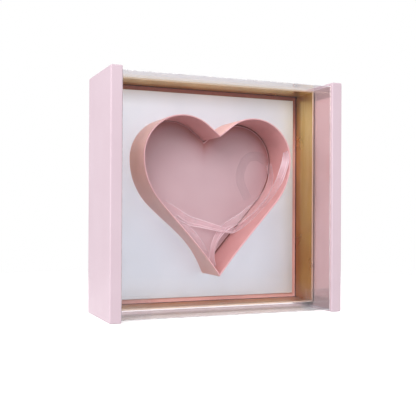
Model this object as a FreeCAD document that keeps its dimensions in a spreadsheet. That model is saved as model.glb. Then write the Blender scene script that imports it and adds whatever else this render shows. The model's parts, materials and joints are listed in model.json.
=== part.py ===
import FreeCAD, Part
import Sketcher
import math
import os
import re

# A card display box that stands upright on two thick side cheeks.
# Millimetres. +X is to the right, -Y is the front, +Z is up, and the origin is the
# middle of the footprint, on the surface that the cheeks stand on.

doc = FreeCAD.newDocument("heart_box")
sheet = doc.addObject("Spreadsheet::Sheet", "Dims")
nodes = []


# ---------------------------------------------------------------- dimensions

DRIVING = [
    # the whole box and its two cheeks
    ("boxWidth", 260.0), ("boxHeight", 250.0), ("boxDepth", 88.0),
    ("cheekThickness", 12.0), ("cheekRound", 1.2),
    ("wrapThickness", 1.0), ("wrapRim", 3.0), ("linerThickness", 0.8),
    # the tray between the cheeks
    ("trayFoot", 5.5), ("trayHead", 2.5), ("trayBoard", 2.0), ("trayWall", 25.0),
    # the neck frame that the cover grips
    ("neckBoard", 1.5), ("neckReach", 27.0),
    # the platform and its silver card
    ("cardSetback", 72.0), ("cardBoard", 2.0), ("cardMargin", 5.0),
    ("platformBoard", 2.0), ("platformFit", 0.3), ("riserWidth", 10.0),
    # the heart-shaped well
    ("heartHalfWidth", 84.5), ("heartTipDrop", 84.5), ("lobeRise", 40.0), ("lobeRadius", 44.0),
    ("notchAngle", 38.0), ("sideAngle", 49.3), ("leftBow", 4.5), ("rightBow", 1.0),
    ("heartShift", -5.0), ("rimSetback", 22.0), ("heartWall", 1.6),
    ("heartBase", 2.0), ("heartFloor", 1.5), ("floorGap", 1.2),
    # the clear cover
    ("coverSheet", 0.5), ("coverSetback", 3.0), ("coverSideGap", 0.5), ("coverTopGap", 0.5),
    ("coverPlay", 5.0), ("coverStop", 0.5), ("coverFold", 0.9),
    ("flangeWidth", 12.0), ("cornerFlapWidth", 30.0), ("cornerFlapHeight", 23.0),
    # the loose ribbon
    ("ribbonWidth", 10.0), ("ribbonThickness", 1.2), ("ribbonLift", 2.0),
]

DERIVED = [
    ("frontFace", "-boxDepth / 2"), ("backFace", "boxDepth / 2"),
    ("cheekInner", "boxWidth / 2 - cheekThickness"),
    ("trayBottom", "trayFoot"), ("trayTop", "boxHeight - trayHead"),
    ("backBoardFace", "backFace - trayBoard"), ("trayFront", "backFace - trayWall"),
    ("neckOuter", "cheekInner - trayBoard"), ("neckInner", "neckOuter - neckBoard"),
    ("neckBottom", "trayBottom + trayBoard"), ("neckTop", "trayTop - trayBoard"),
    ("neckFloor", "neckBottom + neckBoard"), ("neckCeiling", "neckTop - neckBoard"),
    ("neckFront", "trayFront - neckReach"),
    ("cardFace", "frontFace + cardSetback"), ("platformFace", "cardFace + cardBoard"),
    ("riserFace", "platformFace + platformBoard"),
    ("heartCentre", "boxHeight / 2"), ("rimFace", "frontFace + rimSetback"),
    ("heartBaseFace", "cardFace - heartBase"), ("heartFloorFace", "heartBaseFace - heartFloor"),
    ("coverFront", "frontFace + coverSetback"), ("coverBack", "trayFront - coverStop"),
    ("coverHalf", "cheekInner - coverSideGap"),
    ("coverInsideTop", "neckTop + coverTopGap"), ("coverInsideBottom", "neckBottom - coverPlay"),
    ("coverTop", "coverInsideTop + coverSheet"), ("coverBottom", "coverInsideBottom - coverSheet"),
    ("coverInsideFront", "coverFront + coverSheet"), ("coverInsideHalf", "coverHalf - coverSheet"),
]


def fill_sheet():
    for row, (name, value) in enumerate(DRIVING, start=1):
        sheet.set("A%d" % row, name)
        sheet.set("B%d" % row, str(value))
        sheet.setAlias("B%d" % row, name)
    for row, (name, formula) in enumerate(DERIVED, start=len(DRIVING) + 2):
        sheet.set("A%d" % row, name)
        sheet.set("B%d" % row, "=" + formula)
        sheet.setAlias("B%d" % row, name)
    doc.recompute()


def size(name):
    return float(sheet.get(name))


def bound(formula):
    """The formula with each of its dimension names pointed at the sheet."""
    names = dict(DRIVING + DERIVED)
    return re.sub(r"[A-Za-z]+", lambda word: ("Dims." if word[0] in names else "") + word[0], formula)


# ---------------------------------------------------------------- makers

def plate(label, low, high):
    """A flat board from its low corner to its high corner, both given as formulas."""
    board = doc.addObject("Part::Box", label)
    board.Label = label
    for axis, side, start, end in zip("xyz", ("Length", "Width", "Height"), low, high):
        board.setExpression("Placement.Base." + axis, bound(start))
        board.setExpression(side, bound("(%s) - (%s)" % (end, start)))
    return board


def node_plate(label, low, high):
    board = plate(label, low, high)
    nodes.append(board)
    return board


def node_group(label, boards):
    group = doc.addObject("Part::Compound", label)
    group.Label = label
    group.Links = boards
    nodes.append(group)
    return group


def node_shape(label, shape):
    feature = doc.addObject("Part::Feature", label)
    feature.Label = label
    feature.Shape = shape
    feature.Placement = FreeCAD.Placement()
    nodes.append(feature)
    return feature


def plane(body, role):
    return [item for item in body.Origin.OriginFeatures if item.Role == role][0]


def rectangle(body, name, role, left, bottom, right, top):
    """A sketched rectangle on one of the body's own origin planes, its sides set by formulas."""
    sketch = body.newObject("Sketcher::SketchObject", name)
    sketch.AttachmentSupport = (plane(body, role), [""])
    sketch.MapMode = "FlatFace"
    corners = [(0, 0), (10, 0), (10, 10), (0, 10)]
    for index in range(4):
        start = FreeCAD.Vector(*corners[index], 0)
        end = FreeCAD.Vector(*corners[(index + 1) % 4], 0)
        sketch.addGeometry(Part.LineSegment(start, end), False)
    for index in range(4):
        sketch.addConstraint(Sketcher.Constraint("Coincident", index, 2, (index + 1) % 4, 1))
        kind = "Horizontal" if index % 2 == 0 else "Vertical"
        sketch.addConstraint(Sketcher.Constraint(kind, index))
    places = [("DistanceX", 0, left), ("DistanceY", 0, bottom), ("DistanceX", 2, right),
              ("DistanceY", 2, top)]
    for kind, line, formula in places:
        number = sketch.addConstraint(Sketcher.Constraint(kind, -1, 1, line, 1, 5.0))
        sketch.setExpression("Constraints[%d]" % number, bound(formula))
    return sketch


def check_cut(before, after, label):
    if not after < before - 1.0:
        raise RuntimeError("the pocket in %s removed nothing" % label)


# ---------------------------------------------------------------- the cheeks

def cheek(side, sign):
    """A board core in a folded pink wrap, closed by a liner on the inner face."""
    outer = "boxWidth / 2"
    near, far = ("cheekInner", outer) if sign > 0 else ("-" + outer, "-cheekInner")
    body = doc.addObject("PartDesign::Body", side + "_cheek_wrap")
    body.Label = side + "_cheek_wrap"
    block = rectangle(body, side + "_wrap_block", "XY_Plane", near, "frontFace", far, "backFace")
    pad = body.newObject("PartDesign::Pad", side + "_wrap_pad")
    pad.Profile = block
    pad.setExpression("Length", bound("boxHeight"))
    doc.recompute()
    edges = body.newObject("PartDesign::Fillet", side + "_wrap_edges")
    edges.Base = (pad, ["Edge%d" % (n + 1) for n in range(len(pad.Shape.Edges))])
    edges.setExpression("Radius", bound("cheekRound"))
    doc.recompute()
    before = edges.Shape.Volume
    hollow = rectangle(body, side + "_wrap_hollow", "YZ_Plane",
                       "frontFace + wrapRim", "wrapRim",
                       "backFace - wrapRim", "boxHeight - wrapRim")
    pocket = body.newObject("PartDesign::Pocket", side + "_wrap_pocket")
    pocket.Profile = hollow
    pocket.setExpression("Length", bound("boxWidth / 2 - wrapThickness"))
    pocket.Reversed = sign > 0
    doc.recompute()
    check_cut(before, pocket.Shape.Volume, body.Label)
    nodes.append(body)

    core_in = "cheekInner + linerThickness"
    core_out = "boxWidth / 2 - wrapThickness"
    spans = {"core": (core_in, core_out), "liner": ("cheekInner", core_in)}
    for piece, (inside, outside) in spans.items():
        low_x, high_x = (inside, outside) if sign > 0 else ("-(%s)" % outside, "-(%s)" % inside)
        node_plate("%s_cheek_%s" % (side, piece),
                   (low_x, "frontFace + wrapRim", "wrapRim"),
                   (high_x, "backFace - wrapRim", "boxHeight - wrapRim"))


# ---------------------------------------------------------------- tray and neck

def tray():
    node_plate("back_board", ("-cheekInner", "backBoardFace", "trayBottom"),
               ("cheekInner", "backFace", "trayTop"))
    node_plate("tray_wall_bottom", ("-cheekInner", "trayFront", "trayBottom"),
               ("cheekInner", "backBoardFace", "neckBottom"))
    node_plate("tray_wall_top", ("-cheekInner", "trayFront", "neckTop"),
               ("cheekInner", "backBoardFace", "trayTop"))
    node_plate("tray_wall_left", ("-cheekInner", "trayFront", "neckBottom"),
               ("-neckOuter", "backBoardFace", "neckTop"))
    node_plate("tray_wall_right", ("neckOuter", "trayFront", "neckBottom"),
               ("cheekInner", "backBoardFace", "neckTop"))


def neck():
    node_plate("neck_bottom", ("-neckOuter", "neckFront", "neckBottom"),
               ("neckOuter", "backBoardFace", "neckFloor"))
    node_plate("neck_top", ("-neckOuter", "neckFront", "neckCeiling"),
               ("neckOuter", "backBoardFace", "neckTop"))
    node_plate("neck_left", ("-neckOuter", "neckFront", "neckFloor"),
               ("-neckInner", "backBoardFace", "neckCeiling"))
    node_plate("neck_right", ("neckInner", "neckFront", "neckFloor"),
               ("neckOuter", "backBoardFace", "neckCeiling"))


def platform():
    half = "neckInner - platformFit"
    floor, ceiling = "neckFloor + platformFit", "neckCeiling - platformFit"
    node_plate("platform_board", ("-(%s)" % half, "platformFace", floor),
               (half, "riserFace", ceiling))
    half = "neckInner - cardMargin"
    node_plate("silver_card", ("-(%s)" % half, "cardFace", "neckFloor + cardMargin"),
               (half, "platformFace", "neckCeiling - cardMargin"))


def risers():
    """Four card strips round the back of the platform."""
    half = "neckInner - platformFit"
    floor, ceiling = "neckFloor + platformFit", "neckCeiling - platformFit"
    low_in, high_in = floor + " + riserWidth", ceiling + " - riserWidth"
    ends = {
        "riser_bottom": (("-(%s)" % half, floor), (half, low_in)),
        "riser_top": (("-(%s)" % half, high_in), (half, ceiling)),
        "riser_left": (("-(%s)" % half, low_in), ("-(%s) + riserWidth" % half, high_in)),
        "riser_right": (("%s - riserWidth" % half, low_in), (half, high_in)),
    }
    strips = []
    for label, (low, high) in ends.items():
        strips.append(plate(label, (low[0], "riserFace", low[1]), (high[0], "backBoardFace", high[1])))
    node_group("platform_risers", strips)


# ---------------------------------------------------------------- the heart-shaped well

def heart_point(across, up, depth):
    return FreeCAD.Vector(size("heartShift") + across, depth, size("heartCentre") + up)


def half_outline(sign, inset, depth):
    """One half of the heart, from the notch round the lobe to the tip, moved inwards by inset."""
    half_width, tip = size("heartHalfWidth"), -size("heartTipDrop")
    rise, lobe = size("lobeRise"), size("lobeRadius")
    notch_slope = math.radians(size("notchAngle"))
    side_slope = math.radians(size("sideAngle"))
    bow = size("rightBow") if sign > 0 else size("leftBow")
    sin_side, cos_side = math.sin(side_slope), math.cos(side_slope)

    lobe_across = half_width - lobe
    lobe_r = lobe - inset
    cheek_r = ((rise - tip) * cos_side - half_width * sin_side) / (1 - sin_side)
    cheek_across = half_width - cheek_r
    cheek_r = cheek_r - inset

    crest = (lobe_across - lobe_r * math.sin(notch_slope), rise + lobe_r * math.cos(notch_slope))
    notch = (0.0, crest[1] - crest[0] * math.tan(notch_slope))
    top = (lobe_across, rise + lobe_r)
    widest = (half_width - inset, rise)
    mid_turn = (math.pi / 2 - side_slope) / 2
    belly = (cheek_across + cheek_r * math.cos(mid_turn), rise - cheek_r * math.sin(mid_turn))
    shoulder = (cheek_across + cheek_r * sin_side, rise - cheek_r * cos_side)
    point = (0.0, tip + inset / cos_side)
    waist_share = 0.62
    waist = (shoulder[0] * (1 - waist_share) - bow * sin_side,
             shoulder[1] + (point[1] - shoulder[1]) * waist_share + bow * cos_side)

    def place(spot):
        return heart_point(sign * spot[0], spot[1], depth)

    side = Part.BSplineCurve()
    run = FreeCAD.Vector(-sign * cos_side, 0, -sin_side)
    end_run = place(point) - place(waist)
    side.interpolate(Points=[place(shoulder), place(waist), place(point)],
                     InitialTangent=run * (place(waist) - place(shoulder)).Length,
                     FinalTangent=end_run)
    return [
        Part.LineSegment(place(notch), place(crest)).toShape(),
        Part.Arc(place(crest), place(top), place(widest)).toShape(),
        Part.Arc(place(widest), place(belly), place(shoulder)).toShape(),
        side.toShape(),
    ]


def heart_slab(inset, front, back):
    """A heart-shaped slab between two depths."""
    edges = half_outline(1, inset, front) + half_outline(-1, inset, front)
    face = Part.Face(Part.Wire(Part.__sortEdges__(edges)))
    return face.extrude(FreeCAD.Vector(0, back - front, 0))


def heart_well():
    """Two bent walls that meet at the notch and the tip, a glued base and a loose floor."""
    rim, seat = size("rimFace"), size("cardFace")
    wall = size("heartWall")
    ring = heart_slab(0, rim, seat).cut(heart_slab(wall, rim, seat))
    reach = size("boxWidth")
    split = size("heartShift")
    for side, start in (("left", split - reach), ("right", split)):
        half_space = Part.makeBox(reach, size("boxDepth"), size("boxHeight"),
                                  FreeCAD.Vector(start, size("frontFace"), 0))
        node_shape("heart_wall_" + side, ring.common(half_space).Solids[0])
    node_shape("heart_base_board", heart_slab(wall, size("heartBaseFace"), seat))
    node_shape("heart_floor_board",
               heart_slab(wall + size("floorGap"), size("heartFloorFace"), size("heartBaseFace")))


# ---------------------------------------------------------------- the ribbon

# The ribbon's line across the well, from its end high on the right wall, down along the lower
# right side and back up across the floor to the left wall. Shares of the well's inside reach at
# each height, and of its drop to the tip.
RIBBON_ROUTE = [
    (0.878, 0.42), (0.936, 0.16), (0.970, -0.06), (0.957, -0.26), (0.823, -0.42),
    (0.340, -0.41), (-0.153, -0.32), (-0.508, -0.22), (-0.749, -0.10),
]
RIBBON_ARC_SHARE = 0.45


def sideways(run):
    """The unit vector square to a run, in the plane of the heart."""
    return FreeCAD.Vector(-run.z, 0, run.x).normalize()


def ribbon_rail(points, shift):
    """Straight runs joined by tangent arcs, all moved sideways by shift."""
    edges = []
    start = points[0] + sideways(points[1] - points[0]) * shift
    for before, corner, after in zip(points, points[1:], points[2:]):
        back = (before - corner).normalize()
        ahead = (after - corner).normalize()
        run = RIBBON_ARC_SHARE * min((before - corner).Length, (after - corner).Length)
        enter = corner + back * run - sideways(back) * shift
        leave = corner + ahead * run + sideways(ahead) * shift
        half_turn = (math.pi - back.getAngle(ahead)) / 2
        radius = run / math.tan(half_turn)
        inward = (back + ahead).normalize()
        centre = corner + inward * (radius / math.cos(half_turn))
        turn = math.copysign(1, inward.dot(sideways(ahead)))
        middle = centre - inward * (radius - shift * turn)
        edges.append(Part.LineSegment(start, enter).toShape())
        edges.append(Part.Arc(enter, middle, leave).toShape())
        start = leave
    end = points[-1] + sideways(points[-1] - points[-2]) * shift
    edges.append(Part.LineSegment(start, end).toShape())
    return edges


def well_reach(sign, up, depth):
    """How far the inside of the well reaches sideways from its middle at one height."""
    edges = [edge for half in (1, -1) for edge in half_outline(half, size("heartWall"), depth)]
    inside = Part.Face(Part.Wire(Part.__sortEdges__(edges)))
    start, end = heart_point(0, up, depth), heart_point(sign * size("boxWidth"), up, depth)
    return inside.common(Part.makeLine(start, end)).Length


def ribbon():
    """The ribbon standing on its edge in the well, as one thin strip."""
    front = size("heartFloorFace") - size("ribbonLift") - size("ribbonWidth")
    points = []
    for across_share, drop_share in RIBBON_ROUTE:
        up = drop_share * size("heartTipDrop")
        sign = math.copysign(1, across_share)
        points.append(heart_point(across_share * well_reach(sign, up, front), up, front))
    half = size("ribbonThickness") / 2
    near, far = ribbon_rail(points, half), ribbon_rail(points, -half)
    ends = [Part.makeLine(near[end].Vertexes[end].Point, far[end].Vertexes[end].Point)
            for end in (0, -1)]
    outline = Part.Wire(Part.__sortEdges__(near + far + ends))
    strip = Part.Face(outline).extrude(FreeCAD.Vector(0, size("ribbonWidth"), 0))
    print("ribbon strip length %.0f mm" % (sum(edge.Length for edge in near + far) / 2))
    node_shape("ribbon", strip)


# ---------------------------------------------------------------- the clear cover

def cover_wrap():
    """The folded sheet: top, front and bottom of the cover, open at the back and the sides."""
    body = doc.addObject("PartDesign::Body", "cover_wrap")
    body.Label = "cover_wrap"
    profile = rectangle(body, "cover_block", "YZ_Plane", "coverFront", "coverBottom",
                        "coverBack", "coverTop")
    pad = body.newObject("PartDesign::Pad", "cover_pad")
    pad.Profile = profile
    pad.Midplane = True
    pad.setExpression("Length", bound("coverHalf * 2"))
    doc.recompute()
    front = size("coverFront")
    folds = [n + 1 for n, edge in enumerate(pad.Shape.Edges)
             if abs(edge.BoundBox.YMin - front) < 0.01 and abs(edge.BoundBox.YMax - front) < 0.01
             and edge.BoundBox.XLength > size("coverHalf")]
    creases = body.newObject("PartDesign::Fillet", "cover_creases")
    creases.Base = (pad, ["Edge%d" % n for n in folds])
    creases.setExpression("Radius", bound("coverFold"))
    doc.recompute()
    before = creases.Shape.Volume
    inside = rectangle(body, "cover_inside", "YZ_Plane", "coverInsideFront", "coverInsideBottom",
                       "coverBack + coverSheet", "coverInsideTop")
    pocket = body.newObject("PartDesign::Pocket", "cover_pocket")
    pocket.Profile = inside
    pocket.Midplane = True
    pocket.setExpression("Length", bound("coverHalf * 2 + coverSheet"))
    doc.recompute()
    check_cut(before, pocket.Shape.Volume, body.Label)
    nodes.append(body)


def mirrored(span, sign):
    low, high = span
    return (low, high) if sign > 0 else ("-(%s)" % high, "-(%s)" % low)


def cover_side(side, sign):
    """A flat side sheet inside the wrap, with the flanges and the corner flap that hold it."""
    low_x, high_x = mirrored(("coverInsideHalf", "coverHalf"), sign)
    node_plate("cover_side_" + side, (low_x, "coverInsideFront", "coverInsideBottom"),
               (high_x, "coverBack", "coverInsideTop"))
    low_x, high_x = mirrored(("coverInsideHalf - coverSheet", "coverInsideHalf"), sign)
    top = plate("flange_top_" + side,
                (low_x, "coverInsideFront + coverSheet", "coverInsideTop - flangeWidth"),
                (high_x, "coverBack", "coverInsideTop"))
    bottom = plate("flange_bottom_" + side,
                   (low_x, "coverInsideFront + coverSheet", "coverInsideBottom"),
                   (high_x, "coverBack", "coverInsideBottom + flangeWidth"))
    low_x, high_x = mirrored(("coverInsideHalf - cornerFlapWidth", "coverInsideHalf"), sign)
    flap = plate("corner_flap_" + side, (low_x, "coverInsideFront", "coverInsideBottom"),
                 (high_x, "coverInsideFront + coverSheet", "coverInsideBottom + cornerFlapHeight"))
    node_group("cover_tabs_" + side, [top, bottom, flap])


# ---------------------------------------------------------------- build, check and write

fill_sheet()
for name, direction in (("left", -1), ("right", 1)):
    cheek(name, direction)
tray()
neck()
platform()
risers()
heart_well()
ribbon()
cover_wrap()
for name, direction in (("left", -1), ("right", 1)):
    cover_side(name, direction)
doc.recompute()

for item in doc.Objects:
    if "Invalid" in item.State or "Error" in item.State:
        raise RuntimeError("%s did not compute: %s" % (item.Label, item.State))
for node in nodes:
    if node.Shape.isNull() or not node.Shape.isValid():
        raise RuntimeError("%s has no valid shape" % node.Label)

os.makedirs("parts", exist_ok=True)
for node in nodes:
    node.Shape.exportStep("parts/%s.step" % node.Label)
    print("%-22s %d solid(s) %10.1f mm3" % (node.Label, len(node.Shape.Solids), node.Shape.Volume))
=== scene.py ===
import json
import math

import bpy
import numpy as np
from mathutils import Matrix, Vector

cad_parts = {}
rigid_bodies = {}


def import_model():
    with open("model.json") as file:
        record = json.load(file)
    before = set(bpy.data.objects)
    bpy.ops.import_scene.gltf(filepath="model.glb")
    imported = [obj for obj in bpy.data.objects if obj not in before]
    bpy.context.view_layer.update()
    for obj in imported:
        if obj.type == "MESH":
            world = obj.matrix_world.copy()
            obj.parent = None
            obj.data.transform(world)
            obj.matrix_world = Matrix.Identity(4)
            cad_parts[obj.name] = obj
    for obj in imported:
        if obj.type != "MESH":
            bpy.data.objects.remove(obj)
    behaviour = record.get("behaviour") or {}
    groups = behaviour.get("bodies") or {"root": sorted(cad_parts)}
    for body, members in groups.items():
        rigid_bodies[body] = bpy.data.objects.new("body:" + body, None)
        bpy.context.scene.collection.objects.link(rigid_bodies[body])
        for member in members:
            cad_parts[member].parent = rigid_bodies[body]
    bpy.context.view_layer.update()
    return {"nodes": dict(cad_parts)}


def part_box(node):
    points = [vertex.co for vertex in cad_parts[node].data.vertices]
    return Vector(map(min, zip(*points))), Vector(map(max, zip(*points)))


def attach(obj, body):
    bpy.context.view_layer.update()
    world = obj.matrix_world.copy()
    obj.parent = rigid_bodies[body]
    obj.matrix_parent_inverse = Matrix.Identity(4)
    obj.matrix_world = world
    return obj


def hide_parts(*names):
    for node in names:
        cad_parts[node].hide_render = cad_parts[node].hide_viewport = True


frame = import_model()
nodes = frame["nodes"]
MM = 0.001


# ---------------------------------------------------------------- small helpers

def linear(code, opacity=1.0):
    """A colour code as linear values."""
    shares = [int(code[i:i + 2], 16) / 255 for i in (1, 3, 5)]
    return tuple(s / 12.92 if s <= 0.04045 else ((s + 0.055) / 1.055) ** 2.4 for s in shares) + (opacity,)


def lerp(a, b, t):
    """The point a share t of the way from a to b."""
    return a + (b - a) * t


def smooth(t):
    """A share from 0 to 1 that starts and ends gently."""
    t = np.clip(t, 0, 1)
    return t * t * (3 - 2 * t)


def piece(name, verts, faces, materials, body, replaced=(), indices=None, rounded=True):
    """A mesh piece from points in millimetres, riding on a body and standing for CAD nodes."""
    mesh = bpy.data.meshes.new(name)
    mesh.from_pydata([tuple(c * MM for c in v) for v in verts], [], faces)
    mesh.validate()
    for material in materials:
        mesh.materials.append(material)
    if indices is not None:
        mesh.polygons.foreach_set("material_index", indices)
    if rounded:
        mesh.shade_smooth()
        mesh.set_sharp_from_angle(angle=math.radians(38))
    mesh.update()
    obj = bpy.data.objects.new(name, mesh)
    bpy.context.scene.collection.objects.link(obj)
    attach(obj, body)
    if replaced:
        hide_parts(*replaced)
    return obj


# ---------------------------------------------------------------- materials

class Nodes:
    """A short way to wire the nodes of one material."""

    def __init__(self, name):
        self.material = bpy.data.materials.new(name)
        self.material.use_nodes = True
        self.tree = self.material.node_tree
        self.tree.nodes.clear()
        self.output = self.add("ShaderNodeOutputMaterial")
        self.place = self.add("ShaderNodeTexCoord").outputs["Object"]

    def add(self, kind, **settings):
        node = self.tree.nodes.new(kind)
        for key, value in settings.items():
            setattr(node, key, value)
        return node

    def link(self, source, target):
        self.tree.links.new(source, target)

    def axes(self, vector=None):
        """The X, Y and Z of a vector, or of the place in the box."""
        node = self.add("ShaderNodeSeparateXYZ")
        self.link(vector or self.place, node.inputs["Vector"])
        return node.outputs

    def carried(self, name):
        """A value that the mesh carries at its points."""
        return self.add("ShaderNodeAttribute", attribute_name=name).outputs["Fac"]

    def stretch(self, across, depth, up):
        node = self.add("ShaderNodeMapping")
        node.inputs["Scale"].default_value = (across, depth, up)
        self.link(self.place, node.inputs["Vector"])
        return node.outputs["Vector"]

    def noise(self, scale, detail=3.0, roughness=0.55, vector=None):
        node = self.add("ShaderNodeTexNoise")
        node.inputs["Scale"].default_value = scale
        node.inputs["Detail"].default_value = detail
        node.inputs["Roughness"].default_value = roughness
        self.link(vector or self.place, node.inputs["Vector"])
        return node.outputs["Fac"]

    def remap(self, source, low, high, start=0.3, end=0.7):
        node = self.add("ShaderNodeMapRange")
        for key, value in (("From Min", start), ("From Max", end), ("To Min", low), ("To Max", high)):
            node.inputs[key].default_value = value
        self.link(source, node.inputs["Value"])
        return node.outputs["Result"]

    def mix(self, share, first, second):
        node = self.add("ShaderNodeMix", data_type="RGBA")
        self.link(share, node.inputs["Factor"])
        for key, value in ((6, first), (7, second)):
            if isinstance(value, tuple):
                node.inputs[key].default_value = value
            else:
                self.link(value, node.inputs[key])
        return node.outputs[2]

    def math(self, operation, *values):
        node = self.add("ShaderNodeMath", operation=operation)
        for key, value in enumerate(values):
            if isinstance(value, (int, float)):
                node.inputs[key].default_value = value
            else:
                self.link(value, node.inputs[key])
        return node.outputs[0]

    def bump(self, height, strength, distance, normal=None):
        node = self.add("ShaderNodeBump")
        node.inputs["Strength"].default_value = strength
        node.inputs["Distance"].default_value = distance
        self.link(height, node.inputs["Height"])
        if normal:
            self.link(normal, node.inputs["Normal"])
        return node.outputs["Normal"]

    def principled(self, colour, roughness, normal=None, **plain):
        node = self.add("ShaderNodeBsdfPrincipled")
        for key, value in (("Base Color", colour), ("Roughness", roughness), ("Normal", normal)):
            if value is None:
                continue
            if isinstance(value, (tuple, float)):
                node.inputs[key].default_value = value
            else:
                self.link(value, node.inputs[key])
        for key, value in plain.items():
            node.inputs[key.replace("_", " ")].default_value = value
        self.link(node.outputs[0], self.output.inputs["Surface"])
        return node


# Noise scales are in turns per metre, and bump depths in metres.
CARD_TOOTH, CARD_TOOTH_DEPTH = 2400.0, 0.00005
CARD_WAVES, CARD_WAVE_DEPTH = 55.0, 0.0004
CARD_FLECKS = 900.0
CARD_ROUGHNESS = (0.42, 0.58)


def card_surface(n, wavy=True):
    """The fine tooth of card, and its bumps on slow waves or on a flat board."""
    tooth = n.noise(CARD_TOOTH, 3.0, 0.6)
    waves = n.bump(n.noise(CARD_WAVES, 2.0), 0.25, CARD_WAVE_DEPTH) if wavy else None
    return tooth, n.bump(tooth, 0.35, CARD_TOOTH_DEPTH, waves)


def card(name, pale, deep, rough=CARD_ROUGHNESS, mottle=28.0, **plain):
    """Wrapped or plain card: slow tone drift, faint fibre flecks and a fine tooth."""
    n = Nodes(name)
    drift = n.remap(n.noise(mottle, 2.0), 0.0, 1.0)
    flecks = n.remap(n.noise(CARD_FLECKS, 4.0, 0.7), 0.0, 0.35, 0.5, 0.72)
    colour = n.mix(drift, linear(pale), linear(deep))
    colour = n.mix(flecks, colour, linear(deep))
    tooth, normal = card_surface(n)
    n.principled(colour, n.remap(tooth, *rough), normal, **plain)
    return n.material


def top_shaded_card(name, pale, deep, top, start, end):
    """Plain card with painted shade: its tone deepens with height, between the heights start and end in
    metres.
    """
    n = Nodes(name)
    colour = n.mix(n.remap(n.noise(28.0, 2.0), 0.0, 1.0), linear(pale), linear(deep))
    colour = n.mix(n.remap(n.axes()["Z"], 0.0, 1.0, start, end), colour, linear(top))
    tooth, normal = card_surface(n, wavy=False)
    n.principled(colour, n.remap(tooth, *CARD_ROUGHNESS), normal)
    return n.material


def well_floor_card(name, pale, deep, wall_shade, start, end):
    """The well's floor card, with painted shade near the walls, reddened like light bounced off them: it
    takes their colour near them, more and more from start up to end.
    """
    n = Nodes(name)
    # painted shade near the walls, strongest high in the well
    share = n.math("MULTIPLY", n.carried("near"), n.remap(n.axes()["Z"], 0.0, 1.0, start, end))
    colour = n.mix(n.remap(n.noise(20.0, 2.0), 0.0, 1.0), linear(pale), linear(deep))
    colour = n.mix(share, colour, linear(wall_shade))
    tooth, normal = card_surface(n)
    n.principled(colour, n.remap(tooth, 0.45, 0.6), normal)
    return n.material


GOLD_SHADE_FULL, GOLD_SHADE_GONE = 0.06, 0.225      # the heights where the gold's painted shade, darker and richer low in the box, is deepest, and gone
PLATFORM_SHADE_REACH = 0.0045                    # how far the painted shade, a brown, reaches out from the platform
CUT_HIGHLIGHT_START, CUT_HIGHLIGHT_END = 0.0003, 0.0008    # how far behind the cut front its pale tone, partly a painted highlight, starts to go, and ends


def gold_card(name, pale, deep, low_shade, shade, platform_face, cut, front):
    """Metallised card: satin gold, painted shade making it richer low in the box and brown near the
    platform, pale on its cut front, partly a painted highlight.
    """
    n = Nodes(name)
    axes = n.axes()
    # painted shade: the gold turns darker and richer low in the box
    low = n.remap(axes["Z"], 1.0, 0.0, GOLD_SHADE_FULL, GOLD_SHADE_GONE)
    streaks = n.remap(n.noise(30.0, 4.0, 0.6, n.stretch(3.0, 3.0, 0.4)), 0.15, 0.75)
    cloud_low, cloud_high = 0.1, 0.5
    cloud = n.remap(n.noise(24.0, 3.0), cloud_low, cloud_high)
    colour = n.mix(streaks, linear(pale), linear(deep))
    colour = n.mix(low, colour, n.mix(cloud, linear(low_shade), linear(deep)))
    # painted shade: brown on the gold close to the platform
    inner = n.remap(axes["Y"], 0.0, 1.0, platform_face - PLATFORM_SHADE_REACH, platform_face)
    colour = n.mix(n.math("POWER", inner, 1.6), colour, linear(shade))
    # partly painted highlight: paler on the cut front edge
    edge = n.remap(axes["Y"], 0.75, 0.0, front + CUT_HIGHLIGHT_START, front + CUT_HIGHLIGHT_END)
    colour = n.mix(edge, colour, linear(cut))
    tooth = n.noise(1500.0, 3.0, 0.6)
    normal = n.bump(tooth, 0.3, 0.00006, n.bump(n.noise(14.0, 1.0), 0.2, 0.0002))
    n.principled(colour, n.remap(cloud, 0.26, 0.36, cloud_low, cloud_high), normal, Metallic=0.85)
    return n.material


# The cover's gloss face on and edge on, and how fast it rises between them.
GLOSS_FACE_ON, GLOSS_EDGE_ON, GLOSS_RISE = 0.021, 0.54, 5.0


def clear_sheet(name, tint):
    """Clear sheet plastic: it mirrors more at a slant, and is nearly invisible face on."""
    n = Nodes(name)
    facing = n.add("ShaderNodeLayerWeight")
    facing.inputs["Blend"].default_value = 0.5
    steep = n.math("POWER", facing.outputs["Facing"], GLOSS_RISE)
    share = n.math("MULTIPLY_ADD", steep, GLOSS_EDGE_ON, GLOSS_FACE_ON)
    wave = n.bump(n.noise(9.0, 1.0, 0.5), 0.03, 0.0005)
    clear = n.add("ShaderNodeBsdfTransparent")
    clear.inputs["Color"].default_value = linear(tint)
    shine = n.add("ShaderNodeBsdfGlossy")
    shine.inputs["Roughness"].default_value = 0.03
    shine.inputs["Color"].default_value = (1, 1, 1, 1)
    n.link(wave, shine.inputs["Normal"])
    mixed = n.add("ShaderNodeMixShader")
    n.link(share, mixed.inputs[0])
    n.link(clear.outputs[0], mixed.inputs[1])
    n.link(shine.outputs[0], mixed.inputs[2])
    n.link(mixed.outputs[0], n.output.inputs["Surface"])
    return n.material


def clear_edge(name, tint, opacity):
    """The cut or creased edge of clear sheet, where it turns grey and cloudy."""
    n = Nodes(name)
    cloud = n.noise(700.0, 2.0)
    colour = n.mix(n.remap(cloud, 0.0, 1.0), linear(tint), (1.0, 1.0, 1.0, 1.0))
    n.principled(colour, n.remap(cloud, 0.18, 0.34), None, Alpha=opacity)
    return n.material


WARP_THREADS = 48          # across the ribbon's width
WEFT_THREADS = 3400        # to the metre
CREASE = 0.3               # where the ribbon was folded, as a share of its width
SHADOW_LOSS = 0.7          # how much of its shadow the sheer ribbon lets through


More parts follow.
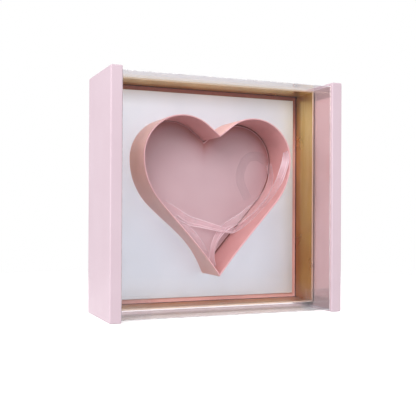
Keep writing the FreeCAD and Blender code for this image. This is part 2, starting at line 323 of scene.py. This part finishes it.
def satin(name, pale, deep, shine):
    """Sheer satin ribbon: fine threads, soft sheen, closer at its edges and its crease; a painted highlight
    makes it paler there and where it is closest.
    """
    n = Nodes(name)
    weave_place = n.axes(n.add("ShaderNodeUVMap", uv_map="ribbon").outputs["UV"])
    across, along = weave_place["X"], weave_place["Y"]
    warp = n.math("SINE", n.math("MULTIPLY", across, 2 * math.pi * WARP_THREADS))
    weft = n.math("SINE", n.math("MULTIPLY", along, 2 * math.pi * WEFT_THREADS))
    weave = n.math("MULTIPLY", warp, weft)
    height = n.math("ADD", n.math("MULTIPLY", warp, 0.6), n.math("MULTIPLY", weave, 0.4))
    drift = n.remap(n.noise(90.0, 3.0), 0.0, 1.0)
    cover = n.carried("cover")
    edge = n.remap(n.math("ABSOLUTE", n.math("SUBTRACT", across, 0.5)), 0.0, 1.0, 0.42, 0.47)
    crease = n.remap(n.math("ABSOLUTE", n.math("SUBTRACT", across, CREASE)), 0.45, 0.0, 0.0, 0.05)
    edge = n.math("MAXIMUM", edge, crease)
    colour = n.mix(drift, linear(pale), linear(deep))
    # painted highlight: paler where the threads are closest, and at the edges and crease
    colour = n.mix(n.remap(cover, 0.0, 1.0, 0.6, 0.95), colour, linear(shine))
    colour = n.mix(edge, colour, linear(shine))
    normal = n.bump(height, 0.2, 0.00003)
    closer = n.math("ADD", n.math("MULTIPLY", edge, 2.6), n.math("MULTIPLY", drift, 0.25))
    solid = n.math("MULTIPLY", cover, n.math("ADD", closer, 1.0))
    node = n.principled(colour, n.remap(drift, 0.28, 0.40), normal,
                        Sheen_Weight=0.35, Sheen_Roughness=0.4, Specular_IOR_Level=0.6,
                        Anisotropic=0.5)
    in_shadow = n.add("ShaderNodeLightPath").outputs["Is Shadow Ray"]
    passed = n.math("ADD", n.math("MULTIPLY", in_shadow, -SHADOW_LOSS), 1.0)
    solid = n.math("MULTIPLY", n.math("MINIMUM", solid, 1.0), passed)
    n.link(solid, node.inputs["Alpha"])
    return n.material


PLATFORM_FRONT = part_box("platform_board")[0][1]
NECK_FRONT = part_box("neck_right")[0][1]
PINK_WRAP = card("pink_wrap", "#c9b4be", "#c5afb9", mottle=18.0)
PINK_LINER = card("pink_liner", "#dfbabb", "#d5b0b1", mottle=22.0)
PINK_TRAY = card("pink_tray", "#e0b9bd", "#dcb4b9", mottle=70.0)
CORE = card("grey_core", "#cfc6bd", "#b9aea4", rough=(0.7, 0.85))
# painted shade: the platform board darkens towards its top, under the neck's top board
SALMON = top_shaded_card("salmon_board", "#e8b0aa", "#dca09b", "#a0635c", 0.17, 0.215)
SILVER = card("silver_card", "#e3edf8", "#dce6f1", rough=(0.42, 0.55), mottle=22.0, Metallic=0.3)
GOLD = gold_card("gold_card", "#f6db9c", "#d4a53c", "#a8640f", "#5c2f1c", PLATFORM_FRONT,
                 "#efdccb", NECK_FRONT)
HEART_WALL = card("heart_wall_card", "#dea5a3", "#d39896", rough=(0.36, 0.5), mottle=45.0)
# painted light: a paler copy of the wall card for the walls' outer faces, lighter than their light alone
# makes them
HEART_OUTER_LIT = card("heart_outer_card", "#fdcfc8", "#f5c4bd", rough=(0.36, 0.5), mottle=45.0)
HEART_RIM = card("heart_rim_card", "#e3b4b7", "#dcacb0", mottle=60.0)
HEART_FLOOR = well_floor_card("heart_floor_card", "#c9aeb4", "#c1a4aa", "#a06462", 0.125, 0.175)
# painted shade: the base card shows only in the gap round the floor board, and this dark brown stands for
# the shade there
HEART_BASE_SHADE = card("heart_base_card", "#8a5852", "#7c4c47", mottle=60.0)
# painted highlight: a paler card on the floor board's rounded edge
HEART_EDGE_HIGHLIGHT = card("heart_floor_edge", "#ecc5c9", "#e3b9be", mottle=60.0)
CLEAR = clear_sheet("clear_sheet", "#fbfafb")
CLEAR_EDGE = clear_edge("clear_edge", "#8f8b94", 0.8)
# the last colour is the ribbon's painted highlight
SATIN = satin("ribbon_satin", "#eed3d9", "#e4c1c9", "#eadbe2")


# ---------------------------------------------------------------- the card boards kept from the CAD

SAME_POINT = 0.01 * MM                 # points this close are one, so that a bevel finds the edges
BEVEL_FROM = math.radians(50)


def dress(names, material, edge_width=0.0):
    """Gives kept CAD boards their material and, where asked, softly pressed edges in millimetres."""
    for name in names:
        board = nodes[name]
        board.data.materials.clear()
        board.data.materials.append(material)
        if edge_width:
            weld = board.modifiers.new("weld", "WELD")
            weld.merge_threshold = SAME_POINT
            bevel = board.modifiers.new("pressed_edges", "BEVEL")
            bevel.width = edge_width * MM
            bevel.segments = 2
            bevel.limit_method = "ANGLE"
            bevel.angle_limit = BEVEL_FROM
            normals = board.data.attributes.get("custom_normal")
            if normals:
                board.data.attributes.remove(normals)
            board.data.shade_flat()


dress(["left_cheek_wrap", "right_cheek_wrap"], PINK_WRAP)
dress(["left_cheek_core", "right_cheek_core"], CORE)
dress(["left_cheek_liner", "right_cheek_liner"], PINK_LINER, 0.4)
dress(["back_board"] + ["tray_wall_" + end for end in ("top", "bottom", "left", "right")], PINK_TRAY, 0.4)
dress(["neck_" + end for end in ("top", "bottom", "left", "right")], GOLD, 0.3)
dress(["platform_board", "platform_risers"], SALMON, 0.3)
dress(["silver_card"], SILVER, 0.35)


# ---------------------------------------------------------------- the clear cover

STRAIGHT = 0.999                       # a face's normal lies along an axis when its share is over this


def dress_clear(name, thin_axes):
    """Clear faces on a sheet, with a cloudy edge wherever a face isn't one of its broad ones."""
    sheet = nodes[name]
    sheet.data.materials.clear()
    sheet.data.materials.append(CLEAR)
    sheet.data.materials.append(CLEAR_EDGE)
    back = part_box(name)[1][1]
    for face in sheet.data.polygons:
        across_axes = [axis for axis in thin_axes if abs(face.normal[axis]) > STRAIGHT]
        back_edge = name == "cover_wrap" and 1 in across_axes and face.center[1] > back - 0.1 * MM
        face.material_index = 1 if back_edge or not across_axes else 0
    sheet.visible_shadow = False


dress_clear("cover_wrap", (1, 2))
for side in ("left", "right"):
    dress_clear("cover_side_" + side, (0,))
    dress_clear("cover_tabs_" + side, (0, 1))


# ---------------------------------------------------------------- the heart's outline

cheek_low, cheek_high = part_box("left_cheek_wrap")
wall_low, wall_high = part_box("heart_wall_right")
HEART_X = wall_low[0] / MM
HEART_Z = (cheek_high[2] + cheek_low[2]) / 2 / MM
HALF_WIDTH = (wall_high[0] - wall_low[0]) / MM
TIP = wall_low[2] / MM - HEART_Z
RISE, LOBE = 40.0, 44.0                # a lobe's centre above the heart's middle, and its radius
NOTCH, SIDE = math.radians(38.0), math.radians(49.3)
WALL = 1.6
RIM_Y, SEAT_Y = wall_low[1] / MM, wall_high[1] / MM
# How far the right (1) and left (-1) lower sides bow outwards, at the rim and at the seat, and how much
# nearer the tip than the shoulder the bow is widest.
BOW = {1: (1.0, 1.0), -1: (1.5, 7.0)}
BOW_SKEW = 1.45
# The points along half of the heart: the straight from the notch, the lobe, the belly and the lower side.
NOTCH_POINTS, LOBE_POINTS, BELLY_POINTS, SIDE_POINTS = 9, 33, 17, 33


def outline(sign, inset, y):
    """One half of the heart from the notch round the lobe to the tip, moved inwards by inset."""
    bow = lerp(*BOW[sign], smooth((y - RIM_Y) / (SEAT_Y - RIM_Y)))
    sin_side, cos_side = math.sin(SIDE), math.cos(SIDE)
    lobe_x, lobe_r = HALF_WIDTH - LOBE, LOBE - inset
    belly_r = ((RISE - TIP) * cos_side - HALF_WIDTH * sin_side) / (1 - sin_side)
    belly_x = HALF_WIDTH - belly_r
    belly_r -= inset
    crest = np.array([lobe_x - lobe_r * math.sin(NOTCH), RISE + lobe_r * math.cos(NOTCH)])
    notch = np.array([0.0, crest[1] - crest[0] * math.tan(NOTCH)])
    points = [lerp(notch, crest, t) for t in np.linspace(0, 1, NOTCH_POINTS)[:-1]]
    for turn in np.linspace(math.pi / 2 + NOTCH, 0, LOBE_POINTS)[:-1]:
        points.append(np.array([lobe_x + lobe_r * math.cos(turn), RISE + lobe_r * math.sin(turn)]))
    for turn in np.linspace(0, math.pi / 2 - SIDE, BELLY_POINTS)[:-1]:
        points.append(np.array([belly_x + belly_r * math.cos(turn), RISE - belly_r * math.sin(turn)]))
    shoulder = np.array([belly_x + belly_r * sin_side, RISE - belly_r * cos_side])
    point = np.array([0.0, TIP + inset / cos_side])
    for t in np.linspace(0, 1, SIDE_POINTS):
        spot = lerp(shoulder, point, t)
        points.append(spot + np.array([-sin_side, cos_side]) * bow * math.sin(math.pi * t ** BOW_SKEW))
    points = np.array(points)
    points[-1, 0] = 0.0
    return points


def place(sign, spots, y):
    """The points of one half of the heart, in the box's millimetres at a depth."""
    return [(HEART_X + sign * x, y, HEART_Z + z) for x, z in spots]


WALL_ROWS = 12                         # points up each face of a wall
RIM_CURVE = [(0.06, 0.9), (0.22, 0.32), (0.5, 0.0)]    # in from the face, and back from the front


def heart_wall(sign, side):
    """A bent card wall with a rounded rim, from the notch to the tip."""
    rise = SEAT_Y - RIM_Y
    profile = [(0.0, SEAT_Y - rise * t) for t in np.linspace(0, 0.96, WALL_ROWS)]
    profile += [(inwards, RIM_Y + behind) for inwards, behind in RIM_CURVE]
    profile += [(WALL - inwards, RIM_Y + behind) for inwards, behind in RIM_CURVE[::-1]]
    profile += [(WALL, RIM_Y + rise * t) for t in np.linspace(0.04, 1, WALL_ROWS)]
    rim = range(WALL_ROWS, WALL_ROWS + 2 * len(RIM_CURVE) - 1)
    verts, faces, slots = [], [], []
    count = len(outline(sign, 0, RIM_Y))
    for inset, y in profile:
        verts += place(sign, outline(sign, inset, y), y)
    rows = len(profile)
    for r in range(rows):
        s = (r + 1) % rows
        for c in range(count - 1):
            quad = (r * count + c, r * count + c + 1, s * count + c + 1, s * count + c)
            faces.append(quad if sign > 0 else quad[::-1])
            # the outer face takes the paler card of painted light
            slots.append(1 if r in rim else 2 if r < WALL_ROWS else 0)
    for c, flip in ((0, sign > 0), (count - 1, sign < 0)):
        cap = [r * count + c for r in range(rows)]
        faces.append(tuple(cap if flip else cap[::-1]))
        slots.append(0)
    piece("heart_card_" + side, verts, faces, [HEART_WALL, HEART_RIM, HEART_OUTER_LIT], "box",
          ["heart_wall_" + side], slots)


# How far in from a board's edge, in millimetres, and how much painted shade, in the walls' colour, it takes
# there.
NEAR_WALL = [(2.5, 0.9), (6.0, 0.62), (10.0, 0.36), (15.0, 0.16), (22.0, 0.0)]


def heart_board(name, insets, round_off, front, back, face_material, edge_material, replaced):
    """A heart-shaped board with pressed edges, in from the walls' outer faces by its two insets."""
    edge = [(0.0, back), (0.0, front + round_off), (0.3 * round_off, front + 0.3 * round_off),
            (round_off, front)]
    profile = edge + [(round_off + reach, front) for reach, _ in NEAR_WALL]
    verts, faces, slots = [], [], []
    for step, y in profile:
        right, left = outline(1, insets[0] + step, y), outline(-1, insets[1] + step, y)
        loop = place(1, right, y) + place(-1, left[1:-1][::-1], y)
        ring = len(loop)
        verts += loop
    for r in range(len(profile) - 1):
        for c in range(ring):
            d = (c + 1) % ring
            faces.append((r * ring + c, (r + 1) * ring + c, (r + 1) * ring + d, r * ring + d))
            slots.append(1 if r < len(edge) - 1 else 0)
    top = (len(profile) - 1) * ring
    faces.append(tuple(top + c for c in range(ring)))
    slots.append(0)
    faces.append(tuple(reversed(range(ring))))
    slots.append(0)
    board = piece(name, verts, faces, [face_material, edge_material], "box", replaced, slots)
    # the share of the floor's painted shade at each ring of the board
    near = [1.0] * len(edge) + [share for _, share in NEAR_WALL]
    board.data.attributes.new("near", "FLOAT", "POINT").data.foreach_set("value", np.repeat(near, ring))


heart_wall(1, "right")
heart_wall(-1, "left")
floor_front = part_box("heart_floor_board")[0][1] / MM
base_front, base_back = (corner[1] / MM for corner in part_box("heart_base_board"))
FLOOR_THICKNESS = 1.15
GAP_RIGHT, GAP_LEFT = 1.9, 0.6         # between the floor board and the walls' inner faces
heart_board("heart_base_card", (WALL, WALL), 0.3, base_front, base_back,
            HEART_BASE_SHADE, HEART_BASE_SHADE, ["heart_base_board"])
heart_board("heart_floor_card", (WALL + GAP_RIGHT, WALL + GAP_LEFT), 0.7, floor_front,
            floor_front + FLOOR_THICKNESS, HEART_FLOOR, HEART_EDGE_HIGHLIGHT, ["heart_floor_board"])


# ---------------------------------------------------------------- the ribbon

RIBBON_WIDTH = 10.0
RIBBON_THICKNESS = 0.22
# Across the ribbon from edge to edge, as shares of its width, and how thick it is there, as shares of its
# thickness: a thicker thread runs just inside each edge.
LANES = np.array([-0.5, -0.46, -0.38, -0.2, 0.0, 0.2, 0.38, 0.46, 0.5])
LANE_THICKNESS = np.array([0.6, 1.0, 0.85, 0.85, 0.85, 0.85, 0.85, 1.0, 0.6])
# The stations of the runs, in whole millimetres: across and up from the heart's middle, and the depth. Then
# the way the ribbon's width points (across, up, depth), and how closely its threads cover what is behind,
# which also sets its painted highlight.
RIBBON = [
    # the free end, leaning on the right wall, then down along the lower right side
    (81, 50, -15, 0.0, 0.0, 1.0, 0.30),
    (81, 43, -16, -0.3, 0.2, 0.9, 0.50),
    (80, 35, -15, -0.4, 0.3, 0.9, 0.70),
    (76, 16, -8, -0.3, 0.3, 0.9, 0.18),
    (64, -5, -2, 0.0, 0.3, 1.0, 0.11),
    (47, -25, 6, 0.0, 0.3, 1.0, 0.14),
    (34, -37, 16, 0.2, 0.4, 0.9, 0.28),
    # across the floor board to the gap by the left wall
    (25, -37, 18, 0.4, 0.5, 0.8, 0.48),
    (-3, -30, 22, 0.4, 0.8, 0.4, 0.36),
    (-20, -25, 23, 0.4, 0.9, 0.0, 0.26),
    (-48, -8, 23, 0.5, 0.8, -0.2, 0.15),
]
TAIL = [
    # up from the gap by the right wall, down beside the first run, then round to the tip
    (78, 38, 19, -0.1, -0.1, 1.0, 0.12),
    (78, 20, 14, -0.1, 0.0, 1.0, 0.12),
    (65, -2, 10, -0.4, 0.5, 0.8, 0.10),
    (44, -21, 15, -0.4, 0.8, 0.5, 0.10),
    (24, -34, 20, -0.3, 0.6, 0.7, 0.25),
    (14, -44, 17, -0.2, 0.3, 0.9, 0.50),
    (7, -54, 12, -0.1, 0.1, 1.0, 0.55),
    (2, -66, 5, -0.1, 0.0, 1.0, 0.55),
    (0, -77, -6, 0.0, -0.2, 1.0, 0.40),
]
FOLD = [
    # a sheer pass on the floor board, from the left wall to the tip
    (-34, -24, 23, -0.7, -0.7, 0.0, 0.20),
    (-14, -42, 23, -0.8, -0.6, -0.1, 0.20),
    (0, -61, 21, -0.8, -0.4, -0.3, 0.15),
    (4, -67, 19, -0.8, -0.3, -0.5, 0.10),
]
LOOP = [
    # a sheer loop on the floor board, from the gap by the right wall
    (77, 40, 24, 0.5, 0.8, 0.0, 0.01),
    (67, 47, 24, 0.2, 1.0, 0.0, 0.02),
    (52, 43, 24, -0.6, 0.7, 0.0, 0.02),
    (44, 22, 24, -0.9, 0.0, 0.0, 0.02),
    (53, -2, 22, -0.8, -0.5, 0.0, 0.02),
]


STEP = 1.2                             # between the points of a run


def through(stations):
    """A smooth run through the stations: middle points, unit width and outward directions, cover."""
    rows = np.array(stations, float)
    rows = np.vstack([2 * rows[0] - rows[1], rows, 2 * rows[-1] - rows[-2]])
    found = []
    for k in range(1, len(rows) - 2):
        a, b, c, d = rows[k - 1:k + 3]
        length = np.linalg.norm(c[:3] - b[:3])
        for t in np.arange(0, 1, STEP / max(length, STEP)):
            found.append(0.5 * (2 * b + (c - a) * t + (2 * a - 5 * b + 4 * c - d) * t ** 2
                                + (3 * b - a - 3 * c + d) * t ** 3))
    found.append(rows[-2])
    found = np.array(found)
    middle = np.column_stack([HEART_X + found[:, 0], found[:, 2], HEART_Z + found[:, 1]])
    width = np.column_stack([found[:, 3], found[:, 5], found[:, 4]])
    ahead = np.gradient(middle, axis=0)
    ahead /= np.linalg.norm(ahead, axis=1)[:, None]
    width -= ahead * (width * ahead).sum(1)[:, None]
    width /= np.linalg.norm(width, axis=1)[:, None]
    return middle, width, np.cross(ahead, width), np.clip(found[:, 6], 0, 1)


def strip(stations, start):
    """The points and faces of one run of ribbon, with its thread coordinates and cover."""
    middle, width, out, cover = through(stations)
    thick = LANE_THICKNESS * RIBBON_THICKNESS / 2
    along = np.concatenate([[0], np.cumsum(np.linalg.norm(np.diff(middle, axis=0), axis=1))])
    # the ribbon cups and uncups a little along its length
    crown = 0.35 * np.sin(along * 0.11)[:, None] + 0.2 * np.sin(along * 0.31 + 1.3)[:, None]
    verts, faces, uvs, covers = [], [], [], []
    for side in (1, -1):
        for i in range(len(middle)):
            for lane, t in zip(LANES, thick):
                lift = crown[i] * (1 - 4 * lane * lane) + side * t
                verts.append(middle[i] + width[i] * lane * RIBBON_WIDTH + out[i] * lift)
                uvs.append((lane + 0.5, along[i] * MM))
                covers.append(cover[i])
    n, m = len(LANES), len(middle)

    def at(side, i, lane):
        return start + (0 if side > 0 else m * n) + i * n + lane

    for i in range(m - 1):
        for lane in range(n - 1):
            top = (at(1, i, lane), at(1, i, lane + 1), at(1, i + 1, lane + 1), at(1, i + 1, lane))
            low = (at(-1, i, lane), at(-1, i + 1, lane), at(-1, i + 1, lane + 1), at(-1, i, lane + 1))
            faces += [top, low]
        for lane, flip in ((0, False), (n - 1, True)):
            edge = (at(1, i, lane), at(1, i + 1, lane), at(-1, i + 1, lane), at(-1, i, lane))
            faces.append(edge[::-1] if flip else edge)
    for i, flip in ((0, True), (m - 1, False)):
        for lane in range(n - 1):
            end = (at(1, i, lane), at(-1, i, lane), at(-1, i, lane + 1), at(1, i, lane + 1))
            faces.append(end if flip else end[::-1])
    return verts, faces, uvs, covers, along[-1]


verts, faces, uvs, covers, total = [], [], [], [], 0.0
for run in (RIBBON, TAIL, FOLD, LOOP):
    more = strip(run, len(verts))
    verts, faces, uvs, covers = verts + more[0], faces + more[1], uvs + more[2], covers + more[3]
    total += more[4]
ribbon = piece("satin_ribbon", verts, faces, [SATIN], "box", ["ribbon"])
ribbon.data.attributes.new("cover", "FLOAT", "POINT").data.foreach_set("value", covers)
threads = ribbon.data.uv_layers.new(name="ribbon")
for loop in ribbon.data.loops:
    threads.data[loop.index].uv = uvs[loop.vertex_index]
print("ribbon shown %.0f mm" % total)


# ---------------------------------------------------------------- studio

FLOOR_REACH = 6.0
FLOOR_SOLID, FLOOR_GONE = 0.20, 0.60   # the floor fades out between these distances from the box
FLOOR_GLOW = 0.34
AIM = (0, 0, 0.12)
# Each lamp's place, side and power.
LAMPS = {
    "key": ((-1.0, -1.72, 1.25), 1.2, 34),
    "side": ((-1.9, -0.3, 0.8), 1.2, 25),
    "fill": ((1.3, -1.6, 0.5), 1.2, 9),
    "card_lamp": ((0.15, -2.0, 0.75), 1.2, 16.5),
    "back": ((0.9, 1.9, 1.0), 1.4, 42),
}
UNREFLECTED = ("fill", "back")
SKY_STRENGTH = 0.61
SKY_LOW, SKY_HIGH = 1.0, 1.1           # its tone well below and well above the horizon


def make_floor():
    """A pale floor that glows a little and fades into the white around it."""
    mesh = bpy.data.meshes.new("studio_floor")
    corners = [(x * FLOOR_REACH, y * FLOOR_REACH, 0) for x, y in ((-1, -1), (1, -1), (1, 1), (-1, 1))]
    mesh.from_pydata(corners, [], [(0, 1, 2, 3)])
    n = Nodes("studio_floor")
    tone = n.mix(n.remap(n.noise(3.0), 0.0, 1.0), (0.95, 0.95, 0.95, 1), (0.97, 0.97, 0.97, 1))
    away = n.add("ShaderNodeVectorMath", operation="LENGTH")
    n.link(n.place, away.inputs[0])
    solid = n.remap(away.outputs["Value"], 1.0, 0.0, FLOOR_SOLID, FLOOR_GONE)
    plain = n.principled(tone, 0.9, Emission_Color=(1, 1, 1, 1), Emission_Strength=FLOOR_GLOW)
    n.link(solid, plain.inputs["Alpha"])
    mesh.materials.append(n.material)
    floor = bpy.data.objects.new("studio_floor", mesh)
    bpy.context.scene.collection.objects.link(floor)
    floor.visible_diffuse = False


def make_light(name):
    """A soft square lamp."""
    spot, width, watts = LAMPS[name]
    lamp = bpy.data.lights.new(name, "AREA")
    lamp.shape = "SQUARE"
    lamp.size = width
    lamp.energy = watts
    obj = bpy.data.objects.new(name, lamp)
    obj.location = spot
    obj.rotation_euler = (Vector(AIM) - Vector(spot)).to_track_quat("-Z", "Y").to_euler()
    obj.visible_glossy = name not in UNREFLECTED
    bpy.context.scene.collection.objects.link(obj)
    return obj


def linked(name, objects, state):
    """A collection that a lamp lights or leaves out, or that leaves its light unblocked."""
    group = bpy.data.collections.new(name)
    for obj in objects:
        group.objects.link(obj)
    for entry in group.collection_objects:
        entry.light_linking.link_state = state
    return group


def light_silver_card(lamps):
    """The silver card takes its light from a lamp of its own, without the heart's shadow."""
    heart = [o for o in bpy.data.objects if o.name.startswith("heart_")]
    silver = [nodes["silver_card"]]
    for name, lamp in lamps.items():
        if name == "card_lamp":
            lamp.light_linking.receiver_collection = linked("card_lamp_lights", silver, "INCLUDE")
            lamp.light_linking.blocker_collection = linked("card_lamp_passes", heart, "EXCLUDE")
        else:
            lamp.light_linking.receiver_collection = linked(name + "_skips", silver, "EXCLUDE")


def make_world():
    """Even light from all round, a little stronger from above, which the camera sees as white."""
    world = bpy.data.worlds.new("studio")
    bpy.context.scene.world = world
    world.use_nodes = True
    tree = world.node_tree
    tree.nodes.clear()
    out = tree.nodes.new("ShaderNodeOutputWorld")
    seen = tree.nodes.new("ShaderNodeBackground")
    seen.inputs["Color"].default_value = (1, 1, 1, 1)
    lit = tree.nodes.new("ShaderNodeBackground")
    lit.inputs["Strength"].default_value = SKY_STRENGTH
    ramp = tree.nodes.new("ShaderNodeMapRange")
    for key, value in (("From Min", -0.7), ("From Max", 0.7), ("To Min", SKY_LOW), ("To Max", SKY_HIGH)):
        ramp.inputs[key].default_value = value
    coords = tree.nodes.new("ShaderNodeTexCoord")
    split = tree.nodes.new("ShaderNodeSeparateXYZ")
    tree.links.new(coords.outputs["Generated"], split.inputs["Vector"])
    tree.links.new(split.outputs["Z"], ramp.inputs["Value"])
    tree.links.new(ramp.outputs["Result"], lit.inputs["Color"])
    path = tree.nodes.new("ShaderNodeLightPath")
    mixed = tree.nodes.new("ShaderNodeMixShader")
    tree.links.new(path.outputs["Is Camera Ray"], mixed.inputs[0])
    tree.links.new(lit.outputs[0], mixed.inputs[1])
    tree.links.new(seen.outputs[0], mixed.inputs[2])
    tree.links.new(mixed.outputs[0], out.inputs["Surface"])


SENSOR = 36.0
LENS = 737.7 / 416 * SENSOR            # the photo's focal length over its width
CAMERA_PLACE = (-0.316788, -0.732179, 0.108605)
YAW, TILT, ROLL = (math.radians(angle) for angle in (22.742, 0.279, 0.278))


def make_camera():
    """The photograph's view: from the left, level with the lower half of the box."""
    ahead = Vector((math.sin(YAW) * math.cos(TILT), math.cos(YAW) * math.cos(TILT), math.sin(TILT)))
    right = Vector((math.cos(YAW), -math.sin(YAW), 0))
    above = right.cross(ahead)
    turned = right * math.cos(ROLL) + above * math.sin(ROLL)
    above = above * math.cos(ROLL) - right * math.sin(ROLL)
    camera = bpy.data.cameras.new("camera")
    camera.sensor_width = SENSOR
    camera.lens = LENS
    camera.clip_start = 0.01
    obj = bpy.data.objects.new("camera", camera)
    rows = zip(turned, above, -ahead, CAMERA_PLACE)
    obj.matrix_world = Matrix([*rows, (0, 0, 0, 1)])
    bpy.context.scene.collection.objects.link(obj)
    bpy.context.scene.camera = obj


make_floor()
make_world()
light_silver_card({name: make_light(name) for name in LAMPS})
make_camera()
bpy.context.scene.view_settings.view_transform = "Standard"
